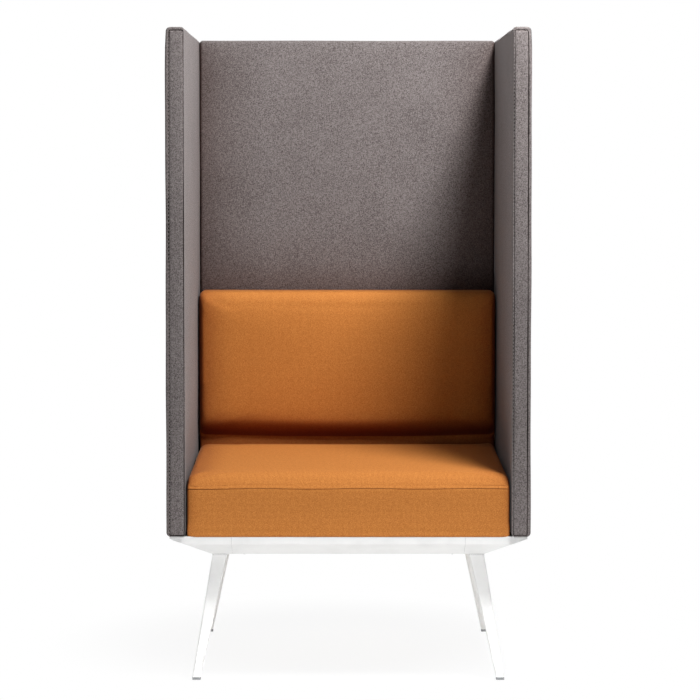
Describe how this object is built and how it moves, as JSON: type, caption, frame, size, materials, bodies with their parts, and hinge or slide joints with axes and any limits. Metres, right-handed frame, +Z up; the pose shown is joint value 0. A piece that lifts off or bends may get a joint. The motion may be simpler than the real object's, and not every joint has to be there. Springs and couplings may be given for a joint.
{
  "type": "acoustic high back lounge chair",
  "caption": "Fixed lounge chair with sound-absorbing side and back panels, a boxed seat cushion, a lumbar back cushion and a powder-coated frame on splayed corner legs.",
  "frame": {"origin": "on the floor, under the middle of the panels' outer faces", "axes": "+Z up, -Y towards the sitter's front, +X to the right of someone who looks at the chair's front"},
  "size_m": [0.78, 0.68, 1.402],
  "materials": {
    "frame_coat": "satin white powder coat",
    "dark_steel": "black coated steel",
    "zinc_steel": "zinc-plated steel",
    "glide_plastic": "moulded grey plastic",
    "plywood": "sanded plywood",
    "panel_board": "raw board",
    "seat_wool": "ochre woven wool over foam",
    "panel_felt": "grey-brown melange felted wool over foam"
  },
  "bodies": {
    "root": {"front_left_leg": "frame_coat", "front_right_leg": "frame_coat", "rear_left_leg": "frame_coat", "rear_right_leg": "frame_coat", "front_rail": "frame_coat", "rear_rail": "frame_coat", "left_rail": "frame_coat", "right_rail": "frame_coat", "rail_screws": "zinc_steel", "front_left_glide": "glide_plastic", "front_right_glide": "glide_plastic", "rear_left_glide": "glide_plastic", "rear_right_glide": "glide_plastic", "left_crossbar": "dark_steel", "right_crossbar": "dark_steel", "crossbar_screws": "zinc_steel", "seat_board": "plywood", "seat_cushion": "seat_wool", "seat_bolts": "zinc_steel", "seat_tee_nuts": "zinc_steel", "back_board": "plywood", "back_cushion": "seat_wool", "back_hanger_studs": "zinc_steel", "left_core": "panel_board", "left_cover": "panel_felt", "left_front_strip": "panel_felt", "left_rear_strip": "panel_felt", "right_core": "panel_board", "right_cover": "panel_felt", "right_front_strip": "panel_felt", "right_rear_strip": "panel_felt", "back_core": "panel_board", "back_cover": "panel_felt", "panel_connectors": "zinc_steel", "left_front_bracket": "dark_steel", "left_rear_bracket": "dark_steel", "right_front_bracket": "dark_steel", "right_rear_bracket": "dark_steel", "back_left_bracket": "dark_steel", "back_right_bracket": "dark_steel", "bracket_screws": "zinc_steel"}
  },
  "joints": []
}
